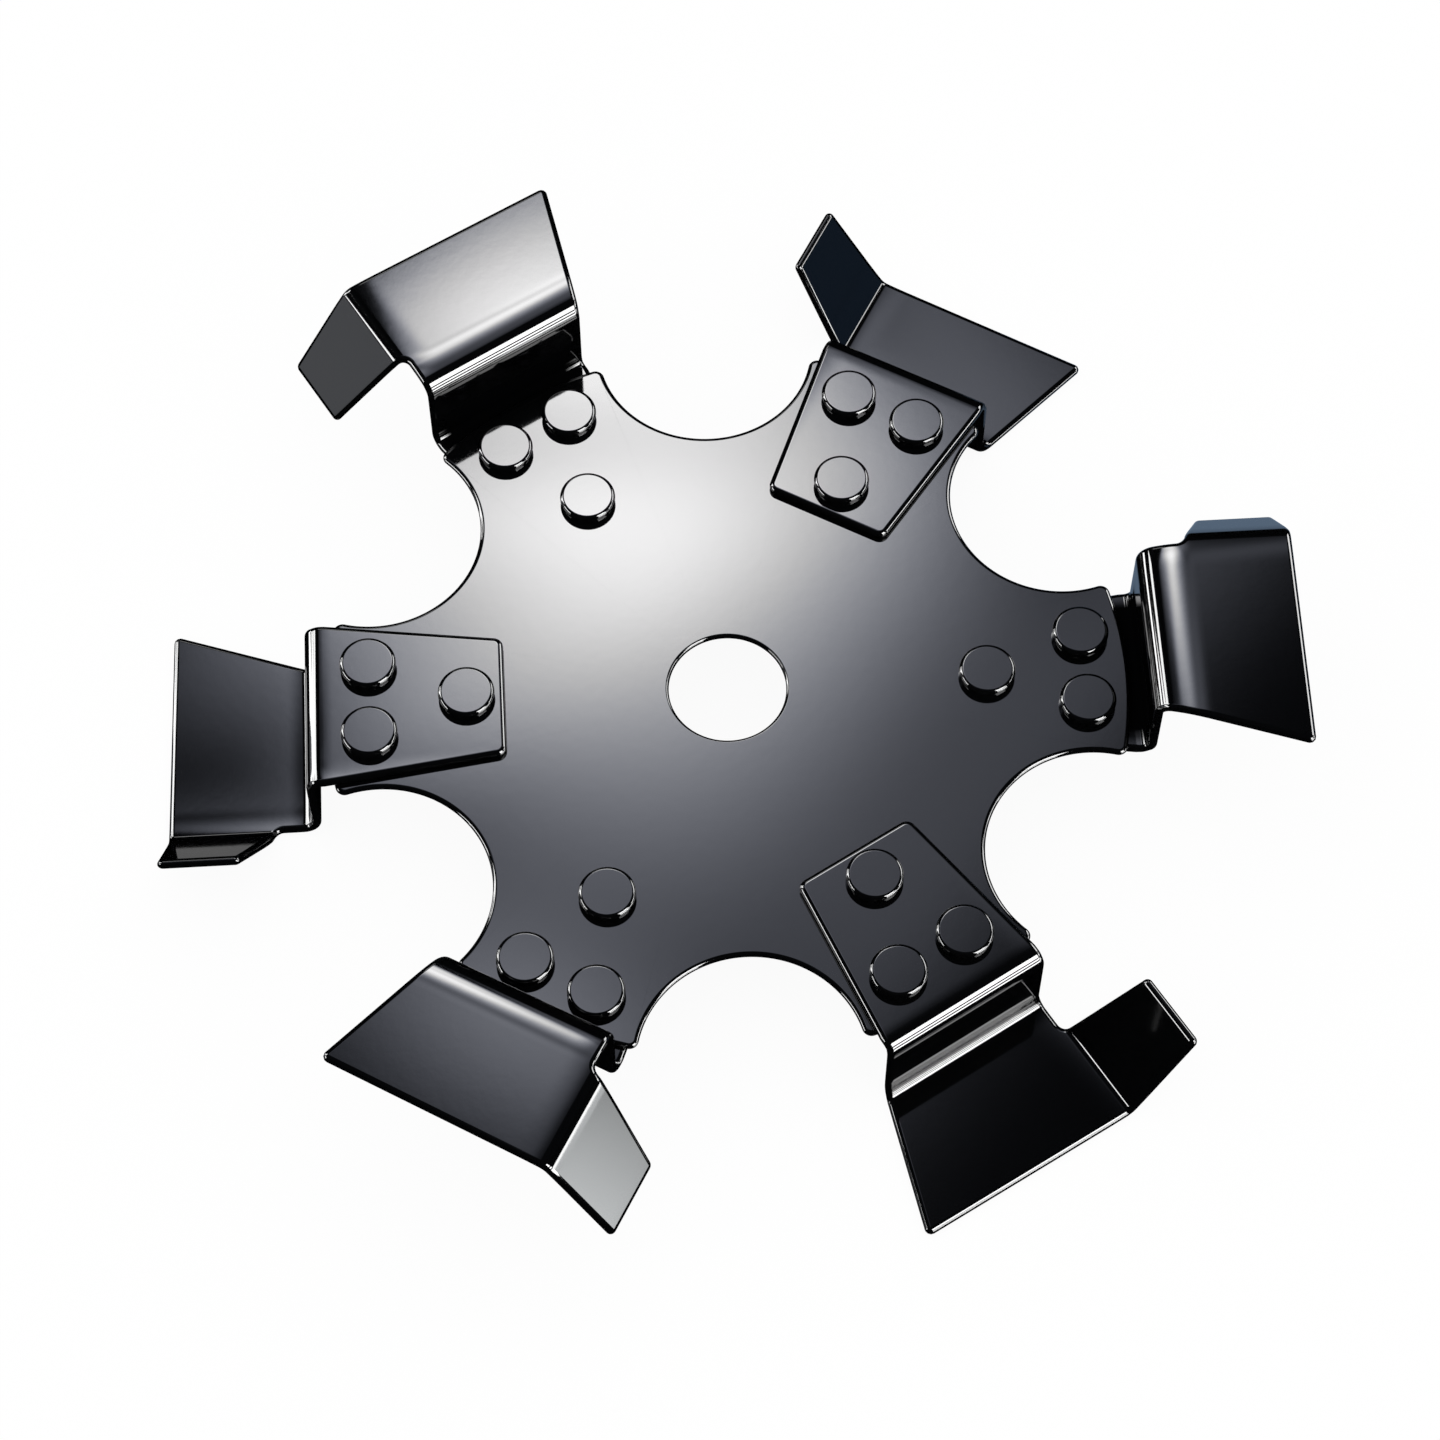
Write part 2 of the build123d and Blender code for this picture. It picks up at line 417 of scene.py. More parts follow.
# %% Straight edges with rounded ends
tang_end_half = 14.2 * mm
neck_half = 19.5 * mm
neck_start = arm_tip_radius
flare_start = 89.2 * mm
paddle_corner = 121.7 * mm
paddle_half = 30.8 * mm
outer_lean = tan(radians(0.95))
inner_corner_radius = 2.2 * mm
outer_corner_radius = 1.3 * mm
tang_slope = (neck_half - tang_end_half) / (neck_start - tang_start)
flare_slope = (paddle_half - neck_half) / (paddle_corner - flare_start)


def line_offset(slope):
    """How far an edge of this slope moves sideways when the outline is inset by the rim's width."""
    return edge_width * sqrt(1 + slope**2)


def flank(out):
    """Half-width of the inset blade at a distance out from the bore: tapered tang, neck, then the flare."""
    tang = tang_end_half - line_offset(tang_slope) + tang_slope * (out - tang_start)
    neck = np.full_like(out, neck_half - edge_width)
    flare = neck_half - line_offset(flare_slope) + flare_slope * (out - flare_start)
    return np.maximum(np.minimum(tang, neck), flare)


def rounded_end(place, width, slope, end, radius):
    """Width of a straight edge whose last stretch before the end line is a circle touching both.

    The end line lies at end; a negative radius means that the edge starts there instead.
    """
    size = abs(radius)
    centre = end - radius
    middle = slope * (centre - place) + width - size * sqrt(1 + slope**2)
    circle = middle + np.sqrt(np.clip(size**2 - (place - centre) ** 2, 0, None))
    touch = centre - size * sin(np.arctan(slope))
    past = place > touch if radius > 0 else place < touch
    return np.where(past, circle, width)


# %% Stations along and across the sheet
def eased(start, end, steps):
    """Stations that crowd towards the end like the points of a quarter circle."""
    return start + (end - start) * np.sin(np.linspace(0, pi / 2, steps))


def outer_edge(across):
    """Distance out of the inset outer edge, which leans: further out towards the wing."""
    return paddle_corner - edge_width + (np.interp(across, end_along, end_across) + paddle_half) * outer_lean


inset_start = tang_start + edge_width
relief_radius = inner_corner_radius + edge_width
wing_lean = radians(13.5)
wing_root = 99.3 * mm
relief_out = wing_root - inner_corner_radius * (1 - sin(wing_lean)) / cos(wing_lean)
relief_across = neck_half + inner_corner_radius
seam_across = neck_half - edge_width
tang_bend_half = tang_bend_radius * pi / 4
paddle_bend_half = paddle_bend_radius * pi / 4

# rows along the sheet: crowded at the tang's rounded start, even up to the bends, then closer again; the last
# number of each stretch is its count of rows
crowded_stretch, even_start, before_riser = 1.5 * mm, 2.5 * mm, 14 * mm
tang_out = np.concatenate([
    -eased(-inset_start - crowded_stretch, -inset_start, 9)[::-1],
    np.linspace(inset_start + even_start, riser_place - before_riser, 12),
])
along_tang = tang_out - (side_out[0] - side_along[0])
along_bends = np.concatenate([
    np.linspace(along_tang[-1], tang_bend - tang_bend_half, 14)[1:-1],
    np.linspace(tang_bend - tang_bend_half, tang_bend + tang_bend_half, 25),
    np.linspace(tang_bend + tang_bend_half, paddle_bend - paddle_bend_half, 60)[1:-1],
    np.linspace(paddle_bend - paddle_bend_half, paddle_bend + paddle_bend_half, 25),
    np.linspace(paddle_bend + paddle_bend_half, relief_out - paddle_shift, 20)[1:],
])
along_neck = np.concatenate([along_tang, along_bends])

# rows of the paddle and the wing, as shares of the way to the outer edge, and columns of the paddle, as
# shares of the way to the wing
even_share = 0.96
paddle_share = np.concatenate([np.linspace(0, even_share, 25), eased(even_share, 1, 14)[1:]])
coarse_share = 0.8
column_share = np.concatenate([np.linspace(0, coarse_share, 17), np.linspace(coarse_share, 1, 12)[1:]])
print("rows:", len(along_neck) + len(paddle_share) - 1)

# %% The flat pattern as two grids
def tang_and_paddle():
    """Flat-pattern grid from the clockwise edge to the neck's edge, whose line runs on as the wing's seam."""
    # left side: rounded at the tang's start and at the paddle's corner
    left_end = outer_edge(np.array(-paddle_half))
    paddle_out = relief_out + paddle_share[1:] * (left_end - relief_out)
    out = np.concatenate([np.interp(along_neck, side_along, side_out), paddle_out])
    left = flank(out)
    start_radius = inner_corner_radius - edge_width
    end_radius = outer_corner_radius - edge_width
    left = np.where(out < inset_start + 2 * start_radius,
                    rounded_end(out, left, tang_slope, inset_start, -start_radius), left)
    left = np.where(out > left_end - 2 * end_radius,
                    rounded_end(out, left, flare_slope, left_end, end_radius), left)
    left_along = np.concatenate([along_neck, paddle_out - paddle_shift])
    # right side: the same tang, then the neck's edge and the seam
    right = np.minimum(left, seam_across)
    seam_end = outer_edge(np.array(seam_across))
    seam_out = relief_out + paddle_share[1:] * (seam_end - relief_out)
    right_along = np.concatenate([along_neck, seam_out - paddle_shift])
    right[len(along_neck):] = seam_across
    along = left_along[:, None] + column_share * (right_along - left_along)[:, None]
    across = -left[:, None] + column_share * (right + left)[:, None]
    return along, across


def wing():
    """Flat-pattern grid of the wing: columns run out from the inner edge to the outer edge."""
    tip = wing_edge - edge_width
    tip_radius = outer_corner_radius - edge_width
    arc_end = relief_across - relief_radius * sin(wing_lean)
    turn = np.linspace(0, pi / 2 - wing_lean, 12)
    across = np.concatenate([
        relief_across - relief_radius * np.cos(turn),
        np.linspace(arc_end, fold_end, 6)[1:],
        np.linspace(fold_end, tip - 2 * tip_radius, 22)[1:],
        eased(tip - 2 * tip_radius, tip, 16)[1:],
    ])
    straight = relief_out + (relief_radius + (across - relief_across) * sin(wing_lean)) / cos(wing_lean)
    arc = relief_out + np.sqrt(np.clip(relief_radius**2 - (across - relief_across) ** 2, 0, None))
    inner = np.where(across < arc_end, arc, straight)
    # both tip corners: circles that touch the tip line and their edge
    centre = tip - tip_radius
    inner_reach = relief_radius + tip_radius + (centre - relief_across) * sin(wing_lean)
    inner_centre = relief_out + inner_reach / cos(wing_lean)
    bulge = np.sqrt(np.clip(tip_radius**2 - (across - centre) ** 2, 0, None))
    inner = np.where(across > centre + tip_radius * sin(wing_lean), inner_centre - bulge, inner)
    outer = outer_edge(across)
    outer = np.where(across > centre, outer - tip_radius + bulge, outer)
    along = inner + paddle_share[:, None] * (outer - inner) - paddle_shift
    return along, np.broadcast_to(across, along.shape)


body_along, body_across = tang_and_paddle()
wing_along, wing_across = wing()
gap = abs(wing_along[:, 0] - body_along[len(along_neck) - 1:, -1]).max()
print("grids:", body_along.shape, wing_along.shape, "seam gap in mm:", round(float(gap / mm), 6))

# %% [markdown]
# ## One blade
# The outline is now the rim of both grids, read in one round trip. The rim's outward direction is square to
# the line between each point's two neighbours. Carrying the rim profile along it in the flat pattern, and
# only then bending everything, keeps the rim's width true round every bend.

# %% Carry the rim round the outline
def blade_outline():
    """The inset outline in the flat pattern, counter-clockwise, and its outward directions."""
    body = np.stack([body_along, body_across], -1)
    fin = np.stack([wing_along, wing_across], -1)
    joint = len(along_neck) - 1
    path = np.vstack([
        body[:, 0],
        body[-1, 1:],
        fin[-1, 1:],
        fin[-2::-1, -1],
        fin[0, -2:0:-1],
        body[joint:0:-1, -1],
        body[0, :0:-1],
    ])
    forward = np.roll(path, -1, 0) - np.roll(path, 1, 0)
    away = np.stack([forward[:, 1], -forward[:, 0]], -1)
    return path, away / np.linalg.norm(away, axis=1, keepdims=True)


outline_path, outline_away = blade_outline()
print("points round the blade's outline:", len(outline_path))

# %% Bend the flat pattern
def blade_grids(view):
    """Upper and lower faces of both grids, and the rim, all bent into place beside the +X arm."""
    grids = []
    for side in (1, -1):
        for along, across in ((body_along, body_across), (wing_along, wing_across)):
            points, normals = on_sheet(view, along, across, np.full(along.shape, side * half_sheet))
            grids.append((points, side * normals))
    path, away = outline_path, outline_away
    outward, height, normal_out, normal_up = rim_profile(half_sheet, edge_width)
    flat = path[None] + outward[:, None, None] * away[None]
    height = np.broadcast_to(height[:, None], flat.shape[:2])
    points, up = on_sheet(view, flat[..., 0], flat[..., 1], height)
    # the outward direction on the bent sheet: a small step in the flat pattern, bent like everything else
    step = 0.01 * mm
    ahead, _ = on_sheet(view, flat[..., 0] + step * away[:, 0], flat[..., 1] + step * away[:, 1], height)
    outward_now = ahead - points
    outward_now /= np.linalg.norm(outward_now, axis=-1, keepdims=True)
    normals = normal_out[:, None, None] * outward_now + normal_up[:, None, None] * up
    grids.append((closed(points), closed(normals)))
    return grids


# %% [markdown]
# ## Six blades
# Every second blade is the mirror image in the disc's plane, with its paddle below the disc. A mirror turns
# each face inside out, so the order of its corners is reversed as well. Each blade also carries a painted
# shade attribute, which the coat reads: it takes the coat's reflection away in the tight inner corner at an
# upper blade's foot, which paints shade there.

# %% Upper and lower blades
# painted shade in the inner corner at an upper blade's foot: its reach and fade from the corner, and its
# length along it
shade_reach, shade_fade = 13 * mm, 5 * mm
shade_half_length, shade_end_fade = 18 * mm, 2 * mm


def painted_corner_shade(points):
    """Painted shade: 1 round an upper blade's inner foot corner, 0 further up the riser and at its two ends.
    """
    reach = np.hypot(points[:, 0] - (riser_place - half_sheet), points[:, 2] - (tang_level + half_sheet))
    deep = np.clip((shade_reach - reach) / shade_fade, 0, 1)
    inside = np.clip((shade_half_length - abs(points[:, 1])) / shade_end_fade, 0, 1)
    return deep * inside


flip = np.array([1, 1, -1])
blades = []
for number in range(1, arm_count + 1):
    upper = number % 2 == 1
    node = f"{'upper' if upper else 'lower'}_blade_{number}"
    turn = 2 * pi * (number - 1) / arm_count
    points, normals, faces = join_grids(blade_grids(soft_views[number]))
    # painted shade for the inner corner of the foot, on the upper blades only
    painted_shade = painted_corner_shade(points) * upper
    if not upper:
        points, normals, faces = points * flip, normals * flip, [face[::-1] for face in faces]
    points, normals = turned_about_bore(points, turn), turned_about_bore(normals, turn)
    blade = make_piece(node, points, normals, faces, "blade_coat", f"{node}_sheet")
    blade.data.attributes.new("painted_shade", "FLOAT", "POINT").data.foreach_set("value", painted_shade)
    blades.append(blade)
print("faces of each blade:", {blade.name: len(blade.data.polygons) for blade in blades})

# %% [markdown]
# ## The rivets
# A rivet is turned work, so it is a profile carried round its axis. The head is a low drum with a rounded
# shoulder, and the tail below is the squeezed end of the shank. The plates hide the shank between them, so
# the profile runs straight from the one to the other.

# %% A turned rivet
head_radius, head_height, head_shoulder = 6.1 * mm, 2.7 * mm, 0.9 * mm
tail_radius, tail_end_radius, tail_height = 5.0 * mm, 3.8 * mm, 2.2 * mm
tail_round = 0.3 * mm
# what a rivet holds together: the disc and one blade
grip = 3.5 * mm


def profile_arc(centre_radius, centre_height, size, start, end, steps):
    """Points of a round in the profile with their normals, as the angle from straight up grows."""
    turn = np.linspace(start, end, steps)
    out, up = np.sin(turn), np.cos(turn)
    return np.stack([centre_radius + size * out, centre_height + size * up, out, up], -1)


def rivet_profile():
    """Radius, height and normal of the profile, from the middle of the head to the middle of the tail."""
    shoulder_start = head_radius - head_shoulder
    top = [(0, head_height, 0, 1), (0.5 * shoulder_start, head_height, 0, 1)]
    shoulder = profile_arc(shoulder_start, head_height - head_shoulder, head_shoulder, 0, pi / 2, 12)
    # the tail is a cone, and both its edges are small rounds
    lean = pi / 2 + atan2(tail_radius - tail_end_radius, tail_height)
    lip = profile_arc(tail_radius - tail_round, -grip - tail_round, tail_round, 0, lean, 8)
    end = profile_arc(tail_end_radius - tail_round, -grip - tail_height + tail_round, tail_round, lean, pi, 8)
    return np.vstack([top, shoulder, lip, end, [(0, -grip - tail_height, 0, -1)]])


def rivet_mesh(segments=96):
    """The profile turned about Z: one row for each profile point, one column for each step of the turn."""
    radius, height, normal_out, normal_up = rivet_profile().T[:, :, None]
    angle = np.linspace(0, 2 * pi, segments + 1)[None]
    east, north = np.cos(angle), np.sin(angle)
    points = np.stack(np.broadcast_arrays(radius * east, radius * north, height), -1)
    normals = np.stack(np.broadcast_arrays(normal_out * east, normal_out * north, normal_up), -1)
    return points, normals


rivet_points, rivet_normals = rivet_mesh()
print("rivet grid:", rivet_points.shape)

# %% Eighteen rivets
inner_row, outer_row = 56.2 * mm, 77.2 * mm
half_spacing = 8.35 * mm
rivet_places = {
    "inner": (inner_row, 0),
    "leading": (outer_row, half_spacing),
    "trailing": (outer_row, -half_spacing),
}
rivets = []
for number in range(1, arm_count + 1):
    turn = 2 * pi * (number - 1) / arm_count
    seat = disc_face if number % 2 == 1 else disc_face + sheet_thickness
    for place, (out, across) in rivet_places.items():
        moved = rivet_points + np.array([out, across, seat])
        points, normals, faces = join_grids([(moved, rivet_normals)])
        points, normals = turned_about_bore(points, turn), turned_about_bore(normals, turn)
        node = f"rivet_{number}_{place}"
        rivets.append(make_piece(node, points, normals, faces, "rivet_coat", f"{node}_turned"))
print("rivets:", len(rivets))

# %% [markdown]
# ## The black coat
# The finish is a deep black enamel. Nearly all that the eye sees of it is reflection: the colour below is
# almost black, and the surface returns about four per cent of the studio, more at a grazing view. A
# Principled shader with an index of refraction of 1.5 does exactly that. The painted shade that a blade
# carries takes the reflection away in its inner corner, which paints that corner dark like shade. The disc,
# the blades and the rivets have coats of their own, which differ by a little.

# %% The coat's material
def empty_tree(owner):
    """Switches a material or a world to nodes, and gives its emptied nodes and its links."""
    owner.use_nodes = True
    owner.node_tree.nodes.clear()
    return owner.node_tree.nodes, owner.node_tree.links


def coat(name, colour, roughness, peel=0.1):
    """Black enamel: a near-black base under a glossy surface, with a faint orange peel and uneven gloss."""
    gloss_spread = 0.15
    darkest, lightest = 0.8, 1.25
    material = bpy.data.materials.new(name)
    nodes, links = empty_tree(material)
    output = nodes.new("ShaderNodeOutputMaterial")
    shader = nodes.new("ShaderNodeBsdfPrincipled")
    links.new(shader.outputs["BSDF"], output.inputs["Surface"])
    shader.inputs["IOR"].default_value = 1.5
    # full reflection where the painted shade is 0 and none where it is 1, which paints the corner dark like
    # shade
    corner = nodes.new("ShaderNodeAttribute")
    corner.attribute_name = "painted_shade"
    shine = nodes.new("ShaderNodeMapRange")
    shine.inputs["To Min"].default_value = 0.5
    shine.inputs["To Max"].default_value = 0.0
    links.new(corner.outputs["Fac"], shine.inputs["Value"])
    links.new(shine.outputs["Result"], shader.inputs["Specular IOR Level"])
    # one soft cloud varies both the gloss and the colour
    place = nodes.new("ShaderNodeTexCoord")
    cloud = nodes.new("ShaderNodeTexNoise")
    cloud.inputs["Scale"].default_value = 60
    cloud.inputs["Detail"].default_value = 2
    links.new(place.outputs["Object"], cloud.inputs["Vector"])
    gloss = nodes.new("ShaderNodeMapRange")
    gloss.inputs["To Min"].default_value = roughness * (1 - gloss_spread)
    gloss.inputs["To Max"].default_value = roughness * (1 + gloss_spread)
    links.new(cloud.outputs["Fac"], gloss.inputs["Value"])
    links.new(gloss.outputs["Result"], shader.inputs["Roughness"])
    tint = nodes.new("ShaderNodeValToRGB")
    for element, share in zip(tint.color_ramp.elements, (darkest, lightest)):
        element.color = (*(channel * share for channel in colour), 1)
    links.new(cloud.outputs["Fac"], tint.inputs["Fac"])
    links.new(tint.outputs["Color"], shader.inputs["Base Color"])
    # the peel is a fine, very shallow bump
    ripple = nodes.new("ShaderNodeTexNoise")
    ripple.inputs["Scale"].default_value = 420
    links.new(place.outputs["Object"], ripple.inputs["Vector"])
    bump = nodes.new("ShaderNodeBump")
    bump.inputs["Strength"].default_value = peel
    bump.inputs["Distance"].default_value = 0.02 * mm
    links.new(ripple.outputs["Fac"], bump.inputs["Height"])
    links.new(bump.outputs["Normal"], shader.inputs["Normal"])
    return material


disc_coat = coat("disc_coat_black_enamel", (0.0012, 0.0013, 0.0015), roughness=0.06)
blade_coat = coat("blade_coat_black_enamel", (0.0011, 0.0012, 0.0014), roughness=0.05)
rivet_coat = coat("rivet_coat_black_enamel", (0.0013, 0.0014, 0.0016), roughness=0.06)
for pieces, material in (([disc], disc_coat), (blades, blade_coat), (rivets, rivet_coat)):
    for piece in pieces:
        piece.data.materials.append(material)
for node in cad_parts.values():
    finish = disc_coat if node.name == "disc" else blade_coat if "blade" in node.name else rivet_coat
    node.data.materials.clear()
    node.data.materials.append(finish)
print("materials:", [material.name for material in (disc_coat, blade_coat, rivet_coat)])

# %% [markdown]
# ## The floor and the white background
# The wheel rests on a white floor in front of a white background. The floor's material is mostly an even
# glow, as white as the background. The rest of it is plain paint, which takes the wheel's shadow.

# %% Floor and world
def stage_mesh(name, points, faces):
    """A piece of the studio, which is no part of the wheel."""
    mesh = bpy.data.meshes.new(name)
    mesh.from_pydata(points, [], faces)
    card = bpy.data.objects.new(name, mesh)
    bpy.context.scene.collection.objects.link(card)
    return card


def level_card(name, reach_x, reach_y, height):
    """A level card: reach_x and reach_y are its two ends along X and along Y."""
    (left, right), (front, back) = reach_x, reach_y
    corners = [(left, front, height), (right, front, height), (right, back, height), (left, back, height)]
    return stage_mesh(name, corners, [(0, 1, 2, 3)])


floor_level = cad_box[0][2]
floor = level_card("floor", (-4, 4), (-4, 4), floor_level)
floor_material = bpy.data.materials.new("white_floor")
nodes, links = empty_tree(floor_material)
floor_output = nodes.new("ShaderNodeOutputMaterial")
floor_mix = nodes.new("ShaderNodeMixShader")
floor_plain = nodes.new("ShaderNodeBsdfDiffuse")
floor_plain.inputs["Color"].default_value = (0.98, 0.98, 0.98, 1)
floor_glow = nodes.new("ShaderNodeEmission")
floor_glow.inputs["Strength"].default_value = 1.0
floor_mix.inputs["Fac"].default_value = 0.94
links.new(floor_plain.outputs["BSDF"], floor_mix.inputs[1])
links.new(floor_glow.outputs["Emission"], floor_mix.inputs[2])
links.new(floor_mix.outputs["Shader"], floor_output.inputs["Surface"])
floor.data.materials.append(floor_material)

world = bpy.data.worlds.new("studio")
bpy.context.scene.world = world
nodes, links = empty_tree(world)
world_output = nodes.new("ShaderNodeOutputWorld")
background = nodes.new("ShaderNodeBackground")
background.inputs["Color"].default_value = (1, 1, 1, 1)
background.inputs["Strength"].default_value = 1.0
links.new(background.outputs["Background"], world_output.inputs["Surface"])
print("floor at", round(floor_level / mm, 2), "mm")

# %% [markdown]
# ## The studio
# A black gloss finish is photographed by what it mirrors. So the wheel stands in a black tent on a black
# table, and bright panels are placed where the camera sees them in the coat. The tent and the panels show in
# reflections only: the white surroundings still light the wheel and the floor, and the camera looks past the
# panels.

# %% Cards that show in reflections only
def glow(name, colour=(1, 1, 1), strength=1.0):
    """A material that shines evenly by itself."""
    material = bpy.data.materials.new(name)
    nodes, links = empty_tree(material)
    output = nodes.new("ShaderNodeOutputMaterial")
    shine = nodes.new("ShaderNodeEmission")
    shine.inputs["Color"].default_value = (*colour, 1)
    shine.inputs["Strength"].default_value = strength
    links.new(shine.outputs["Emission"], output.inputs["Surface"])
    return material


def reflected_only(card, material):
    """Hides a card from everything but the coat's reflections."""
    card.data.materials.append(material)
    card.visible_camera = card.visible_diffuse = card.visible_transmission = card.visible_shadow = False
    return card


tent_radius = 1.25
tent_height = 1.3
wall_columns = 49
angle = np.linspace(0, 2 * pi, wall_columns)
wall_ring = np.stack([tent_radius * np.cos(angle), tent_radius * np.sin(angle)], -1)
wall_rows = [np.c_[wall_ring, np.full(wall_columns, level)] for level in (floor_level, tent_height)]
wall = stage_mesh("tent_wall", np.vstack(wall_rows).tolist(), grid_faces(2, wall_columns).tolist())
tent_black = glow("tent_black", (0, 0, 0), 0)
reflected_only(wall, tent_black)
card_gap = 0.05 * mm
table_level = floor_level + card_gap
table = level_card("black_table", (-1.2, 1.2), (-1.2, 1.2), table_level)
reflected_only(table, tent_black)
print("tent wall faces:", len(wall.data.polygons))

# %% [markdown]
# ## The bright panels
# A bend, a fold or a rounded edge is curved, so it mirrors a whole fan of directions, and a panel that stands
# in the fan shows as a fine bright line. The tall panels are cut into strips one above the other, and the
# dark gap between two strips is what splits one bright line into two. Most of the panels leave a gap about 15
# degrees above the floor, because the flat faces mirror that height in a low view and should stay black. The
# low panels close to the wheel are for the flat wings, which mirror one small patch each.

# %% Panels round the wheel
def upright_panel(name, left, right, bottom, top, strength, colour=(1, 1, 1)):
    """An upright card above the line between two points of the floor plan."""
    corners = [(*left, bottom), (*right, bottom), (*right, top), (*left, top)]
    return reflected_only(stage_mesh(name, corners, [(0, 1, 2, 3)]), glow(name, colour, strength))


# points of the floor plan in metres, along X and along Y, which runs away from the camera
left_back = (-1.0, 0.45)
front_near, front_far, side_corner, side_far = (0.46, -0.708), (0.80, -0.35), (0.885, -0.14), (0.99, 0.12)
line_light, front_light = 22, 30
cool_white, cool_grey, navy = (0.97, 1, 1.01), (0.95, 0.98, 1.05), (0.08, 0.14, 0.24)
panels = [
    upright_panel("left_back_low", left_back, (-0.93, 0.5175), 0.03, 0.39, line_light),
    upright_panel("left_back_middle", left_back, (-0.87, 0.5754), 0.39, 0.66, line_light),
    upright_panel("left_back_high", left_back, (-0.83, 0.614), 0.66, 1.1, line_light),
    upright_panel("left_back_upper_strip", (-0.83, 0.614), (-0.70, 0.739), 0.68, 0.95, line_light),
    upright_panel("left_back_lower_strip", (-0.93, 0.5175), (-0.80, 0.643), 0.07, 0.24, line_light),
    upright_panel("right_front_high", front_near, front_far, 0.58, 1.25, front_light),
    upright_panel("right_front_middle", front_near, front_far, 0.285, 0.44, front_light),
    upright_panel("right_front_low", front_near, front_far, 0.05, 0.165, front_light),
    upright_panel("right_side_high", side_corner, side_far, 0.31, 0.56, line_light),
    upright_panel("right_side_low", front_far, side_corner, 0.057, 0.19, line_light),
    upright_panel("right_side_grey", front_far, side_corner, 0.02, 0.057, 8.8, cool_white),
    upright_panel("right_back_panel", (0.98, 0.40), (0.72, 0.85), 0.42, 0.95, 16),
    upright_panel("right_low_panel", (0.22, -0.19), (0.22, -0.12), floor_level, 0.02, 10.3, cool_white),
    upright_panel("back_left_card", (-0.42, 1.19), (-0.12, 1.19), 0.95, 1.25, 4.5),
    upright_panel("left_high_strip", (-0.90, -0.35), (-0.90, 0.16), 0.31, 0.56, line_light),
    upright_panel("left_low_strip", (-0.90, -0.24), (-0.90, 0.16), 0.09, 0.19, line_light),
    upright_panel("right_strip", (1.0, 0.10), (1.0, 0.35), 0.35, 0.60, 12),
    upright_panel("left_grey_panel", (-0.50, -0.12), (-0.50, 0.22), floor_level, 0.12, 1.1, cool_grey),
    upright_panel("right_navy_panel", (0.50, 0.00), (0.50, 0.26), floor_level, 0.12, 1, navy),
]
print("panels:", [panel.name for panel in panels])

# %% A panel that fades, and a blue card on the table
def fade_along_y(material, near, far, far_strength):
    """Makes a glow change evenly from its own strength at one place in Y to another strength further back."""
    nodes, links = material.node_tree.nodes, material.node_tree.links
    strength = nodes["Emission"].inputs["Strength"]
    fade = nodes.new("ShaderNodeMapRange")
    fade.inputs["From Min"].default_value = near
    fade.inputs["From Max"].default_value = far
    fade.inputs["To Min"].default_value = strength.default_value
    fade.inputs["To Max"].default_value = far_strength
    place = nodes.new("ShaderNodeTexCoord")
    axes = nodes.new("ShaderNodeSeparateXYZ")
    links.new(place.outputs["Object"], axes.inputs["Vector"])
    links.new(axes.outputs["Y"], fade.inputs["Value"])
    links.new(fade.outputs["Result"], strength)


# the low panel is dimmer at its far end, which shades the one wing that mirrors it
fade_along_y(bpy.data.materials["right_low_panel"], near=-0.176, far=-0.145, far_strength=5.3)
blue_card = level_card("blue_card", (0.07, 0.17), (0.03, 0.12), table_level + card_gap)
reflected_only(blue_card, glow("blue_card", (0.16, 0.23, 0.33)))
print("blue card at", round((table_level + card_gap) / mm, 2), "mm")

# %% [markdown]
# ## The overhead card
# The upper faces all mirror one patch of the ceiling behind the wheel. Its light is a sum of soft oval spots,
# each of which fades like a bell curve, and a few dark spots take light away like a flag on a stand. That
# gives the long gradient from nearly white at the top of the wheel to nearly black at its lower right.

# %% Soft spots on the overhead card
overhead_spots = [
    # strength, centre in metres, half-widths in metres, turn in degrees
    (7.38, (-0.013, 0.808), (0.121, 0.195), 4),
    (0.88, (0.274, 0.729), (0.509, 0.051), 51),
    (21.36, (-0.048, 0.905), (0.182, 0.140), -9),
    (3.34, (-0.084, 0.497), (0.110, 0.063), -38),
    (-5.22, (0.081, 1.053), (0.046, 0.195), 31),
    (-12.0, (-0.206, 0.988), (0.071, 0.194), 131),
    (2.83, (-0.114, 0.711), (0.047, 0.293), -61),
    (-11.22, (-0.062, 0.890), (0.122, 0.046), -2),
    (-1.69, (-0.206, 0.674), (0.070, 0.046), -1),
]


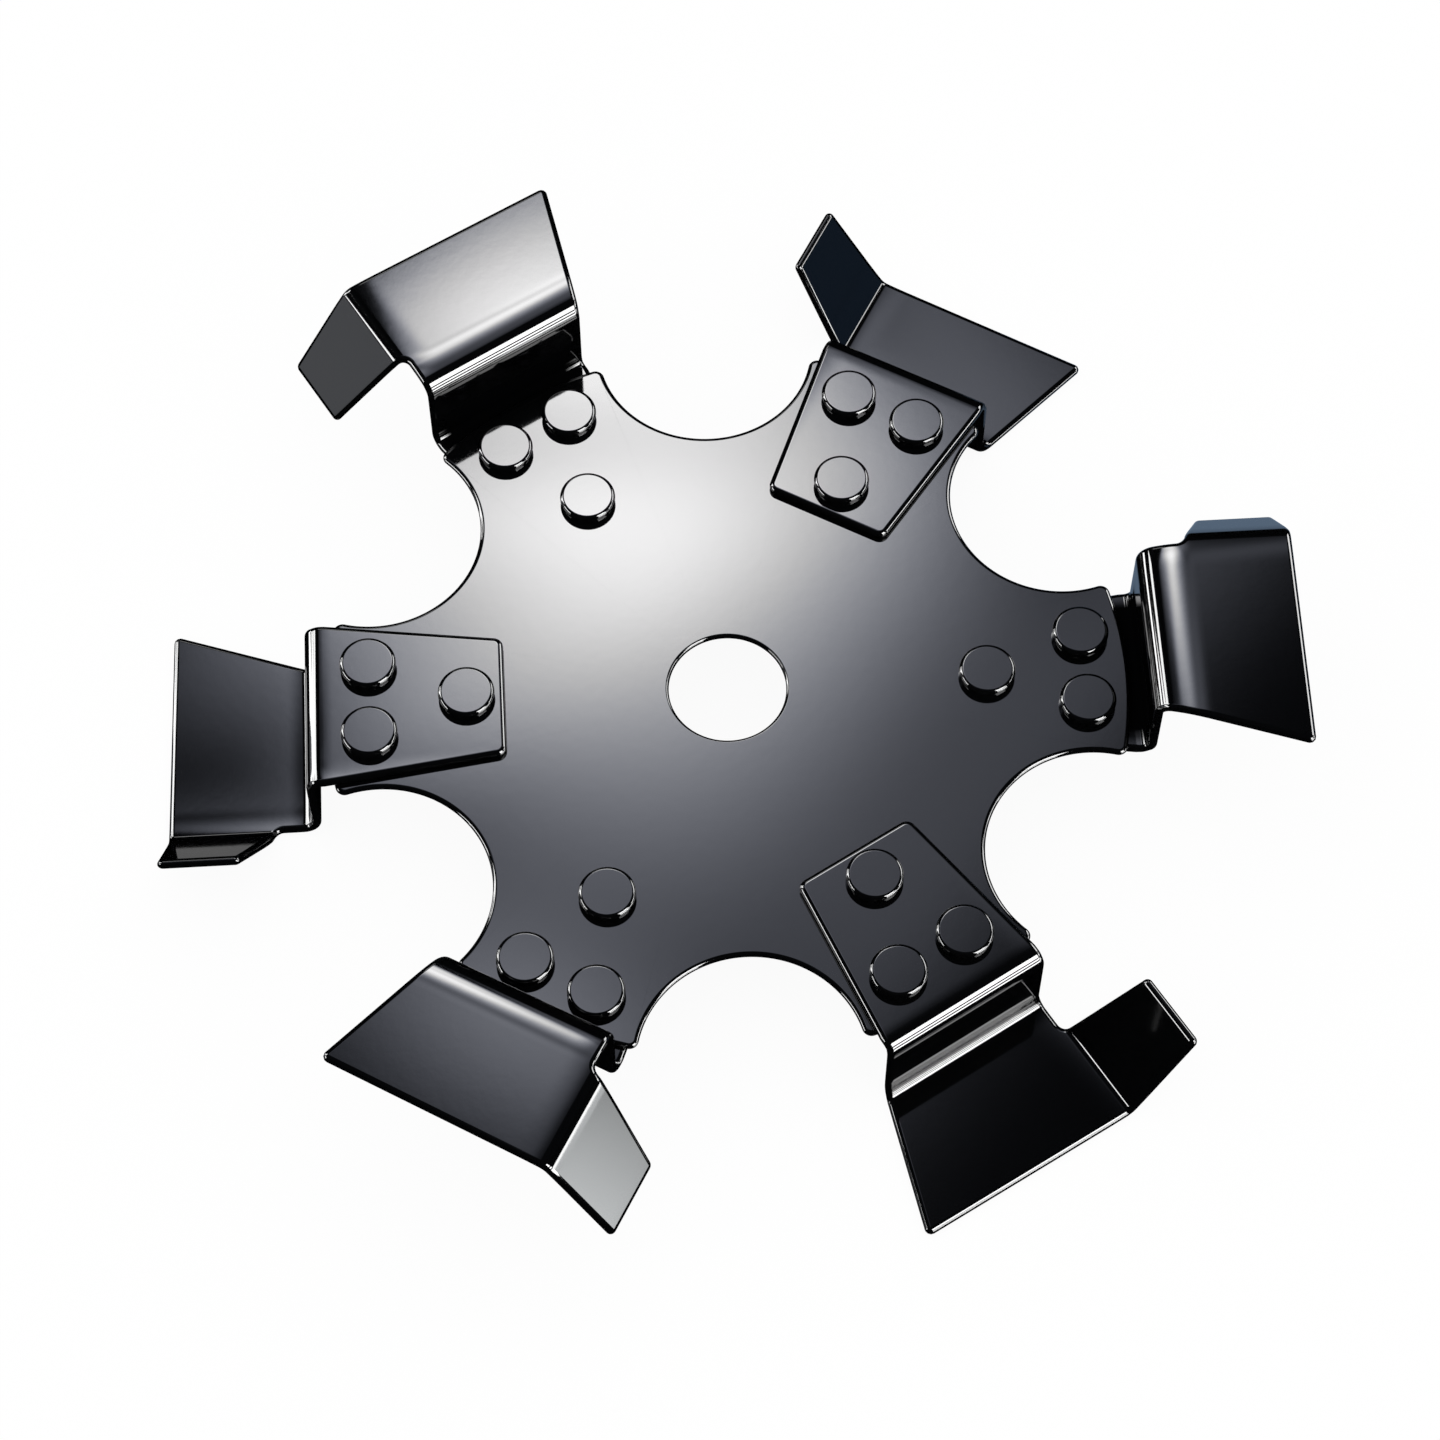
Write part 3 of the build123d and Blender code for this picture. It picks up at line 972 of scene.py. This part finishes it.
def overhead_light(spots, height, least_light=0.016):
    """A material whose brightness is the sum of the spots and a little even light.

    A spot's light is its strength times e to the minus squared distance, with the distance measured in
    half-widths from its centre.
    """
    material = glow("overhead_light")
    nodes, links = material.node_tree.nodes, material.node_tree.links
    shine = nodes["Emission"]
    place = nodes.new("ShaderNodeTexCoord")
    total = None
    for strength, centre, half_widths, turn in spots:
        local = nodes.new("ShaderNodeMapping")
        local.vector_type = "TEXTURE"
        local.inputs["Location"].default_value = (*centre, height)
        local.inputs["Rotation"].default_value = (0, 0, radians(turn))
        local.inputs["Scale"].default_value = (*half_widths, 1)
        links.new(place.outputs["Object"], local.inputs["Vector"])
        squared = nodes.new("ShaderNodeVectorMath")
        squared.operation = "DOT_PRODUCT"
        links.new(local.outputs["Vector"], squared.inputs[0])
        links.new(local.outputs["Vector"], squared.inputs[1])
        fade = nodes.new("ShaderNodeMath")
        fade.operation = "POWER"
        fade.inputs[0].default_value = 1 / e
        links.new(squared.outputs["Value"], fade.inputs[1])
        added = nodes.new("ShaderNodeMath")
        added.operation = "MULTIPLY_ADD"
        added.inputs[1].default_value = strength
        links.new(fade.outputs["Value"], added.inputs[0])
        if total is None:
            added.inputs[2].default_value = least_light
        else:
            links.new(total.outputs["Value"], added.inputs[2])
        total = added
    bright = nodes.new("ShaderNodeMath")
    bright.operation = "MAXIMUM"
    bright.inputs[1].default_value = 0
    links.new(total.outputs["Value"], bright.inputs[0])
    links.new(bright.outputs["Value"], shine.inputs["Strength"])
    # the dim parts of the card are a little bluer than its bright middle
    share = nodes.new("ShaderNodeMapRange")
    share.inputs["From Max"].default_value = 12
    links.new(bright.outputs["Value"], share.inputs["Value"])
    tone = nodes.new("ShaderNodeMix")
    tone.data_type = "RGBA"
    tone.inputs["A"].default_value = (0.895, 0.95, 1.155, 1)
    tone.inputs["B"].default_value = (1, 0.995, 1, 1)
    links.new(share.outputs["Result"], tone.inputs["Factor"])
    links.new(tone.outputs["Result"], shine.inputs["Color"])
    return material


overhead = level_card("overhead_card", (-1.3, 1.3), (-1.3, 1.3), tent_height)
reflected_only(overhead, overhead_light(overhead_spots, tent_height))
print("soft spots on the overhead card:", len(overhead_spots))

# %% [markdown]
# ## The camera
# The photograph was taken from a little under a metre away with a short telephoto lens, looking down at the
# wheel from the front. The camera looks past the bore by a few millimetres, which puts the wheel at its place
# in the picture. Its place is given along its own axes, and three turns bring those axes to the wheel's.

# %% Camera at the photograph's view
camera_data = bpy.data.cameras.new("camera")
camera = bpy.data.objects.new("camera", camera_data)
bpy.context.scene.collection.objects.link(camera)
bpy.context.scene.camera = camera
camera_data.sensor_width = 36
camera_data.lens = 101.2
camera_data.clip_start = 0.05
camera_data.clip_end = 20
# turns in radians, and the place along the camera's own axes: right, up and back
tilt, spin, roll = 0.4935, 0.0549, 0.0032
from_bore = Vector((-1.610, -6.672, 874.56)) * mm
turn = Matrix.Rotation(roll, 4, "Z") @ Matrix.Rotation(-tilt, 4, "X") @ Matrix.Rotation(spin, 4, "Z")
camera.matrix_world = turn.transposed() @ Matrix.Translation(from_bore)
print("camera at", [round(value, 4) for value in camera.matrix_world.translation])

bpy.context.scene.view_settings.view_transform = "Standard"
bpy.context.view_layer.update()
